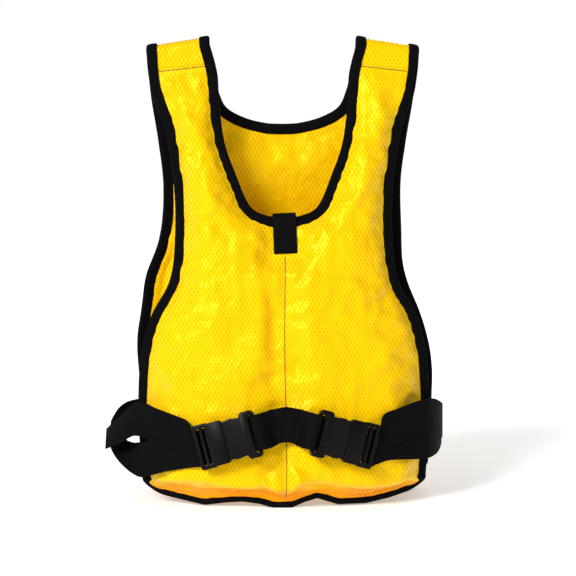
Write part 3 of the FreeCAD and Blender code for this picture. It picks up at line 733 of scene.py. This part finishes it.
# The half turn over the shoulder at one x: front to back.
def overShoulder(x, top, inwardX):
    radius = vest["shoulderY"] - panelY(-1, np.array([x]), np.array([top]))[0]
    turn = np.linspace(0, math.pi, 15)[1:-1]
    place = np.stack([np.full(13, x), vest["shoulderY"] - radius * np.cos(turn),
                      top + radius * np.sin(turn)], axis=1)
    normal = np.stack([np.zeros(13), -np.cos(turn), np.sin(turn)], axis=1)
    slope = vest["shoulderSlope"]
    inside = np.array([inwardX, 0, -np.sign(x) * inwardX * slope])
    inside = np.tile(inside / np.linalg.norm(inside), (13, 1))
    return place, normal, inside


def joinRuns(*runs):
    return [np.vstack(parts) for parts in zip(*runs)]


# A tape folded over an edge: front leaf, round the edge, and back leaf.
def tapeRows(place, normal, inside, seed):
    half, width = tape["half"], tape["width"]
    leaf = [(width, 0.86 * half), (width * 0.75, half), (width * 0.45, 1.06 * half),
            (width * 0.18, half), (0.4 * mm, 0.72 * half)]
    section = leaf + [(-0.35 * mm, 0)] + [(depth, -height) for depth, height in leaf[::-1]]
    waver = wobble(place, 26 * mm, seed)[:, None] * 0.7 * mm
    pucker = wobble(place, 5.5 * mm, seed + 3)[:, None] * 0.35 * mm
    ripple = wobble(place, 15 * mm, seed + 5)[:, None] * 0.9 * mm
    rows = []
    for depth, height in section:
        share = depth / width
        rows.append(place + inside * (depth + waver * share)
                    + normal * (height + pucker * share * np.sign(height) + ripple * 0.5))
    return np.stack(rows, axis=1)


def makeSideTape(name, sign, seed):
    edges = {}
    for facing in (-1, 1):
        side = smoothRun(np.array(outlines[facing]["side"]) * mm, 230)
        side = side[side[:, 1] < tape["armTop"]] * [sign, 1]
        edges[facing] = side
    front = panelEdge(-1, edges[-1][::-1], -sign)
    back = panelEdge(1, edges[1], sign)
    arc = overShoulder(sign * 146 * mm, tape["armTop"], -sign)
    place, normal, inside = joinRuns(front, arc, back)
    return makeRibbon(name, tapeRows(place, normal, inside, seed), tape["cloth"], tapeCloth)


def makeNeckTape(name, seed):
    runs = []
    for facing in (-1, 1):
        neck = smoothRun(np.array(outlines[facing]["neck"]) * mm, 150)
        neck = neck[neck[:, 1] < tape["neckTop"]]
        runs.append(np.vstack([neck * [-1, 1], neck[::-1][1:]]))
    front = panelEdge(-1, runs[0], 1)
    back = panelEdge(1, runs[1][::-1], -1)
    right = overShoulder(79 * mm, tape["neckTop"], 1)
    left = [part[::-1] for part in overShoulder(-79 * mm, tape["neckTop"], -1)]
    parts = joinRuns(front, right, back, left)
    place, normal, inside = [np.vstack([part, part[:1]]) for part in parts]
    return makeRibbon(name, tapeRows(place, normal, inside, seed), tape["cloth"], tapeCloth, closed=True)


def makeHemTape(name, facing, seed):
    side = outlines[facing]["side"][-1][0] * mm
    corner = vest["hemCorner"]
    turn = np.linspace(-0.12, math.pi / 2, 18)
    centre = side - corner
    arc = np.stack([centre + corner * np.cos(turn), corner - corner * np.sin(turn)], axis=1)
    hem = np.stack([np.linspace(centre, -centre, 150)[1:-1], np.zeros(148)], axis=1)
    run = evenly(np.vstack([arc, hem, (arc * [-1, 1])[::-1]]), 210)
    rows = tapeRows(*panelEdge(facing, run, 1), seed)
    middle = rows.mean(axis=1, keepdims=True)
    return makeRibbon(name, middle + (rows - middle) * 1.04, tape["cloth"], tapeCloth)


for side, sign in (("left", -1), ("right", 1)):
    strip = makeSideTape(f"armholeTape_{side}", sign, 11 + sign)
    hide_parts(f"front_armhole_binding_{side}", f"back_armhole_binding_{side}",
                f"shoulder_binding_outer_{side}")
    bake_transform(strip)
neckTape = makeNeckTape("neckTape", 21)
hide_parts("front_neck_binding", "back_neck_binding", "shoulder_binding_inner_left",
            "shoulder_binding_inner_right")
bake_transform(neckTape)
for side, facing, body in (("front", -1, "front"), ("back", 1, "root")):
    strip = makeHemTape(f"{side}HemTape", facing, 31 + facing)
    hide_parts(f"{side}_hem_binding")
    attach(strip, body)
print("tapes done")


# Where the finished cloth lies: its y at each (x, z), pushed out by a gap.
def onCloth(panel, facing, x, z, gap, least=0.0):
    found = []
    for px, pz in zip(x, z):
        hit, place, _, _ = panel.ray_cast(Vector((px, facing * 0.4, pz)), Vector((0, -facing, 0)))
        middle = panelY(facing, px, pz)
        off = (place.y - middle) * facing if hit else 0
        found.append(middle + facing * (max(off, least) + gap))
    return np.array(found)


def makeShoulder(name, sign, seed):
    rows = []
    share = np.linspace(0, 1, 15)
    top = tape["neckTop"] + (tape["armTop"] - tape["neckTop"]) * share
    edges = {}
    for facing in (-1, 1):
        for place, kind in enumerate(("neck", "side")):
            line = smoothRun(np.array(outlines[facing][kind]) * mm, 300)
            edges[facing, place] = line[::-1]
    for facing, steps in ((-1, np.linspace(0, 1, 12)), (1, np.linspace(1, 0, 12))):
        for step in steps:
            low = np.array([seamHeight(80 * mm), seamHeight(140 * mm)]) - 2 * mm
            z = (low[0] + (low[1] - low[0]) * share) * (1 - step) + top * step
            near, far = (np.interp(z, edges[facing, place][:, 1], edges[facing, place][:, 0])
                         for place in (0, 1))
            x = (near + 2 * mm) * (1 - share) + (far - 2 * mm) * share
            rows.append(np.stack([x, panelY(facing, x, z), z], axis=1))
        if facing < 0:
            radius = vest["shoulderY"] - rows[-1][:, 1]
            for turn in np.linspace(0, math.pi, 11)[1:-1]:
                rows.append(np.stack([x, vest["shoulderY"] - radius * math.cos(turn),
                                      z + radius * math.sin(turn)], axis=1))
    rows = np.array(rows) * [sign, 1, 1]
    ripple = wobble(rows.reshape(-1, 3), 16 * mm, seed).reshape(rows.shape[:2])
    rows[:, :, 1] += 0.7 * mm * ripple * np.sign(rows[:, :, 1] - vest["shoulderY"])
    return makeRibbon(name, rows, 2.6 * mm, ripstop)


for side, sign in (("left", -1), ("right", 1)):
    cloth = makeShoulder(f"shoulderCloth_{side}", sign, 41 + sign)
    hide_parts(f"shoulder_cloth_{side}")
    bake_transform(cloth)


stitch = {"length": 3.2 * mm, "radius": 0.42 * mm, "sink": 0.12 * mm, "rise": 0.45 * mm}


# Lockstitch: one thread for each run, dipping into the cloth at every needle hole.
def makeStitches(name, runs, material):
    bpy.ops.curve.primitive_bezier_curve_add()
    line = bpy.context.object
    line.name = name
    line.data.splines.clear()
    for place, normal in runs:
        place = np.array(place)
        length = np.concatenate([[0], np.cumsum(np.linalg.norm(np.diff(place, axis=0), axis=1))])
        steps = np.arange(0, length[-1], stitch["length"] / 5)
        points = np.stack([np.interp(steps, length, place[:, k]) for k in range(3)], axis=1)
        outward = np.stack([np.interp(steps, length, np.array(normal)[:, k]) for k in range(3)], axis=1)
        height = stitch["rise"] * np.abs(np.sin(math.pi * steps / stitch["length"])) - stitch["sink"]
        points += outward * height[:, None]
        spline = line.data.splines.new("POLY")
        spline.points.add(len(points) - 1)
        spline.points.foreach_set("co", np.hstack([points, np.ones((len(points), 1))]).ravel())
    line.data.dimensions = "3D"
    line.data.bevel_depth = stitch["radius"]
    line.data.bevel_resolution = 1
    line.data.use_fill_caps = True
    selectOnly(line)
    bpy.ops.object.convert(target="MESH")
    line = bpy.context.object
    line.data.materials.append(material)
    bpy.ops.object.shade_smooth()
    return line


def clothRun(panel, facing, x, z):
    y = onCloth(panel, facing, x, z, 0)
    normal = np.tile([0.0, facing, 0.0], (len(x), 1))
    return np.stack([x, y, z], axis=1), normal


def shoulderRuns(panel, facing):
    runs = []
    for sign in (-1, 1):
        x = np.linspace(83 * mm, 133 * mm, 40)
        z = np.array([seamHeight(value) - 4.5 * mm for value in x])
        runs.append(clothRun(panel, facing, sign * x, z))
    return runs


def middleRun():
    z = np.linspace(266 * mm, 13 * mm, 220)
    x = 0.7 * mm * np.sin(z / (37 * mm)) * smoothStep(0, 40 * mm, z)
    return clothRun(frontPanel, -1, x, z)


frontStitches = makeStitches("frontStitches", shoulderRuns(frontPanel, -1) + [middleRun()], thread)
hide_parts("front_stitching")
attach(frontStitches, "front")
backStitches = makeStitches("backStitches", shoulderRuns(backPanel, 1), thread)
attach(backStitches, "root")
print("shoulders and stitching done")


belt = {
    "width": 38 * mm,
    "thick": 1.5 * mm,
    "back": 77 * mm,             # height of the belt's middle across the back
    "tab": 25 * mm,
    "tabTop": 309.5 * mm,
    "tabFoot": 269 * mm,
    "tabLean": 0.03,
}


# Webbing along a line of middle points, each with the direction of the webbing's width.
def makeBand(name, line, width):
    ways = line[:, 3:] / np.linalg.norm(line[:, 3:], axis=1, keepdims=True)
    spread = np.array([-0.5, -0.485, -0.33, -0.16, 0, 0.16, 0.33, 0.485, 0.5]) * width
    rows = line[:, None, :3] + ways[:, None, :] * spread[None, :, None]
    return makeRibbon(name, rows, belt["thick"], webbing)


def smoothBand(name, route, ways, width, count):
    return makeBand(name, smoothRun(np.hstack([np.array(route), np.array(ways)]), count), width)


def makeTab():
    front = np.linspace(belt["tabFoot"], belt["tabTop"] - 2.5 * mm, 16)
    zero = np.zeros(16)
    leaf = onCloth(frontPanel, -1, zero, front, 1.0 * mm, least=1.2 * mm)
    leaf = np.minimum(leaf, onCloth(frontPanel, -1, zero + 9 * mm, front, 0.6 * mm))
    leaf = np.minimum(leaf, onCloth(frontPanel, -1, zero - 9 * mm, front, 0.6 * mm))
    overTape = front > 293.5 * mm
    leaf[overTape] = np.minimum(leaf[overTape], panelY(-1, 0, front[overTape], tape["half"] + 1.7 * mm))
    behind = panelY(-1, 0, front, -tape["half"] - 1.9 * mm)
    top = [(0, panelY(-1, 0, belt["tabTop"], 2.4 * mm), belt["tabTop"] + 0.2 * mm),
           (0, panelY(-1, 0, belt["tabTop"], 0), belt["tabTop"] + 1.4 * mm),
           (0, panelY(-1, 0, belt["tabTop"], -2.6 * mm), belt["tabTop"] + 0.2 * mm)]
    route = ([(0, y, z) for y, z in zip(leaf, front)] + top
             + [(0, y, z) for y, z in zip(behind[::-1], front[::-1])])
    route = np.array(route)
    route[:, 0] = (belt["tabTop"] - route[:, 2]) * belt["tabLean"]
    return smoothBand("neckTab", route, [(1, 0, 0.04)] * len(route), belt["tab"], 60)


neckTab = makeTab()
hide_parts("neck_tab")
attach(neckTab, "front")


# A buckle's own axes, from its joints: x runs outward, y up across it, and z out from its back face.
class Buckle:
    def __init__(self, side):
        joints = {joint["name"]: joint for joint in frame["joints"]}
        upper, lower = (joints[f"squeeze_{side}_{place}"] for place in ("upper", "lower"))
        self.out = np.array(joints[f"release_{side}"]["axis"])
        self.face = np.array(upper["axis"]) * (-1 if upper["axis"][1] > 0 else 1)
        self.up = np.cross(self.face, self.out)
        self.up *= math.copysign(1, self.up[2])
        middle = (np.array(upper["pos_m"]) + np.array(lower["pos_m"])) / 2
        self.base = middle - self.out * 39 * mm - self.face * 6 * mm

    def at(self, x, z):
        return self.base + (self.out * x + self.face * z) * mm


buckles = {side: Buckle(side) for side in ("left", "right")}


def offPanel(facing, x, off, z):
    return np.array([x * mm, panelY(facing, x * mm, z * mm, off * mm), z * mm])


# From the middle of the front, over and round a socket's bar, and back under itself.
def barRoute(side, sign):
    buckle = buckles[side]
    upright = np.array([0, 0, 1.0])
    height = buckle.base[2] / mm
    route = [(offPanel(-1, sign * 6, 26.9, height + 6.5), upright),
             (offPanel(-1, sign * 14, 28.2, height + 4.5), upright * 0.6 + buckle.up * 0.4)]
    for x, z in ((-6, 6.8), (-1, 9.0), (2.8, 9.3), (5.8, 8.0), (6.5, 4), (5.8, 0), (2.6, -1.4), (-2, -1.4),
                 (-9, -2.4)):
        route.append((buckle.at(x, z), buckle.up))
    route.append((offPanel(-1, sign * 12, 25.3, height + 4.9), upright * 0.4 + buckle.up * 0.6))
    return route


def makeFrontBelt():
    left, right = barRoute("left", -1), barRoute("right", 1)
    whole = left[::-1] + [(offPanel(-1, 0, 26.5, buckles["left"].base[2] / mm + 7.4),
                           np.array([0, 0, 1.0]))] + right
    places, ways = zip(*whole)
    return smoothBand("frontBelt", places, ways, belt["width"], 170)


frontBelt = makeFrontBelt()
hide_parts("front_belt")
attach(frontBelt, "front")


# Each side of the belt, from the back belt round to the buckle and out again as the free tail:
# loop (x, y, height), then load strand and tail (x, distance in front of the panel, height), then the
# end that hangs free (x, y, height). A last number tilts the webbing's width towards +y.
sideRoutes = {
    "left": {"loop": [(144, 80, 77, 0), (158, 69, 77, 0), (171, 54, 76, 0.2), (182, 32, 73, 0.8),
                      (188, 8, 69, 1.8), (184, -16, 62, 1.8), (173, -36, 55, 1.2), (160, -51, 50.5, 0.7)],
             "load": [(147, 26, 52.5), (128, 26, 59), (110, 27.5, 63.5)],
             "tail": [(101, 31, 77), (118, 29.5, 83), (138, 28.8, 89)],
             "free": [(153, -57, 94, 0.4), (163, -49, 92, 0.7), (174, -42, 82, 1.1), (184, -33, 74, 1.6),
                      (192, -22, 67, 2.2)]},
    "right": {"loop": [(144, 80, 77, 0), (157, 69, 77, 0), (167, 54, 77, 0), (173, 32, 77, 0),
                       (174, 8, 76, 0), (170, -16, 73, 0), (164, -38, 70, 0), (155, -54, 69, 0)],
              "load": [(146, 26, 69), (128, 26, 70), (110, 27.5, 70.5)],
              "tail": [(101, 31, 82), (118, 29.5, 88), (138, 28.8, 93.5)],
              "free": [(151, -57, 95, 0.1), (160, -45, 94, 0.1), (168, -27, 88, 0.1), (173.5, -6, 82, 0)]},
}


# Under the plug's ladder, up through its inner slot, over the bar and down through the outer slot.
throughLadder = [(70, -0.3), (62, -0.4), (55.4, -0.2), (54, 3.6), (54.3, 8.8), (58, 11), (61.4, 9.5),
                 (61.4, 5), (62.4, 2.2), (66, 1.4), (71, 1.5)]


def makeSideRun(side, sign):
    buckle, routes = buckles[side], sideRoutes[side]

    def hanging(points):
        return [(np.array([sign * x, y, z]) * mm, np.array([0, tilt, 1.0])) for x, y, z, tilt in points]

    def onPanel(points):
        upright = np.array([0, 0, 1.0])
        return [(offPanel(-1, sign * x, off, z), upright + buckle.up * max(0, (140 - x) / 40))
                for x, off, z in points]

    inside = [(buckle.at(x, z), buckle.up) for x, z in throughLadder]
    whole = (hanging(routes["loop"]) + onPanel(routes["load"]) + inside
             + onPanel(routes["tail"]) + hanging(routes["free"]))
    line = smoothRun([np.hstack(point) for point in whole], 300)
    leaves = int(np.argmax(line[:, 1] < -60 * mm))       # where the loop lets go of the panel
    return line[leaves:], line[:leaves + 2]


for side, sign in (("left", -1), ("right", 1)):
    strapRun, loopRun = makeSideRun(side, sign)
    strap = makeBand(f"sideStrap_{side}", strapRun, belt["width"])
    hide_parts(f"side_strap_{side}", f"strap_tail_{side}")
    start = buckles[side].at(70, 0)
    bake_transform(strap)
    loop = makeBand(f"sideLoop_{side}", loopRun, belt["width"])
    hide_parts(f"side_loop_{side}")
    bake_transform(loop)


# How far back the belt stands: it bridges the hollows between the folds under its whole width.
def backBeltFace(x):
    rows = [onCloth(backPanel, 1, x, np.full(len(x), belt["back"] + share * belt["width"]), 1.2 * mm,
                    least=21 * mm) for share in np.linspace(-0.5, 0.5, 9)]
    y = np.max(rows, axis=0)
    y = np.max([np.roll(y, step) for step in (-2, -1, 0, 1, 2)], axis=0)
    return np.convolve(np.pad(y, 3, mode="edge"), np.ones(7) / 7, mode="valid")


backBeltX = np.linspace(-150, 150, 61) * mm
backBeltY = backBeltFace(backBeltX)


def makeBackBelt():
    route = np.stack([backBeltX, backBeltY, np.full(61, belt["back"])], axis=1)
    return smoothBand("backBelt", route, [(0, 0, 1)] * 61, belt["width"], 150)


backBelt = makeBackBelt()
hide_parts("back_belt")
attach(backBelt, "root")


# A short upright strap sewn down above and below the back belt.
def makeKeeper(name, x):
    half, reach = belt["width"] / 2, belt["width"] / 2 + 9 * mm
    heights = belt["back"] + np.array([-reach, -reach + 5 * mm, -half - 1 * mm, -half * 0.7, 0, half * 0.7,
                                       half + 1 * mm, reach - 5 * mm, reach])
    flat = np.full(9, x)
    y = onCloth(backPanel, 1, flat, heights, 0.9 * mm, least=14 * mm)
    beltY = np.interp(x, backBeltX, backBeltY) + 1.9 * mm
    y[2:7] = np.maximum(y[2:7], [beltY - 0.6 * mm, beltY, beltY, beltY, beltY - 0.6 * mm])
    route = np.stack([flat, y, heights], axis=1)
    return smoothBand(name, route, [(1, 0, 0)] * 9, 25 * mm, 40)


for side, sign in (("left", -1), ("right", 1)):
    low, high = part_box(f"belt_keeper_{side}")
    keeper = makeKeeper(f"beltKeeper_{side}", (low[0] + high[0]) / 2)
    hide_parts(f"belt_keeper_{side}")
    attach(keeper, "root")
print("webbing done")


moulding = {"round": 0.6 * mm, "steps": 2, "sharp": 32}


# The moulded shape of a CAD piece, with its corners rounded as the tool leaves them.
def makeMoulding(name, node):
    selectOnly(frame["nodes"][node])
    bpy.ops.object.duplicate()
    piece = bpy.context.object
    piece.name = name
    piece.parent = None
    for key in list(piece.keys()):
        if key.startswith("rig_"):
            del piece[key]
    piece.data.materials.clear()
    piece.data.materials.append(acetal)
    bpy.ops.object.mode_set(mode="EDIT")
    bpy.ops.mesh.select_all(action="SELECT")
    bpy.ops.mesh.remove_doubles(threshold=0.01 * mm)
    bpy.ops.mesh.dissolve_limited(angle_limit=math.radians(1))
    bpy.ops.object.mode_set(mode="OBJECT")
    edge = piece.modifiers.new("round", "BEVEL")
    edge.width = moulding["round"]
    edge.segments = moulding["steps"]
    edge.limit_method = "ANGLE"
    edge.angle_limit = math.radians(moulding["sharp"])
    applyModifiers(piece)
    bpy.ops.object.shade_smooth_by_angle(angle=math.radians(40))
    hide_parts(node)
    return piece


for side in ("left", "right"):
    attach(makeMoulding(f"buckleSocket_{side}", f"buckle_socket_{side}"), "front")
    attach(makeMoulding(f"bucklePlug_{side}", f"buckle_plug_{side}"), f"plug_{side}")
    for place in ("upper", "lower"):
        arm = makeMoulding(f"releaseArm_{side}_{place}", f"release_arm_{side}_{place}")
        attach(arm, f"arm_{side}_{place}")
print("buckles done")
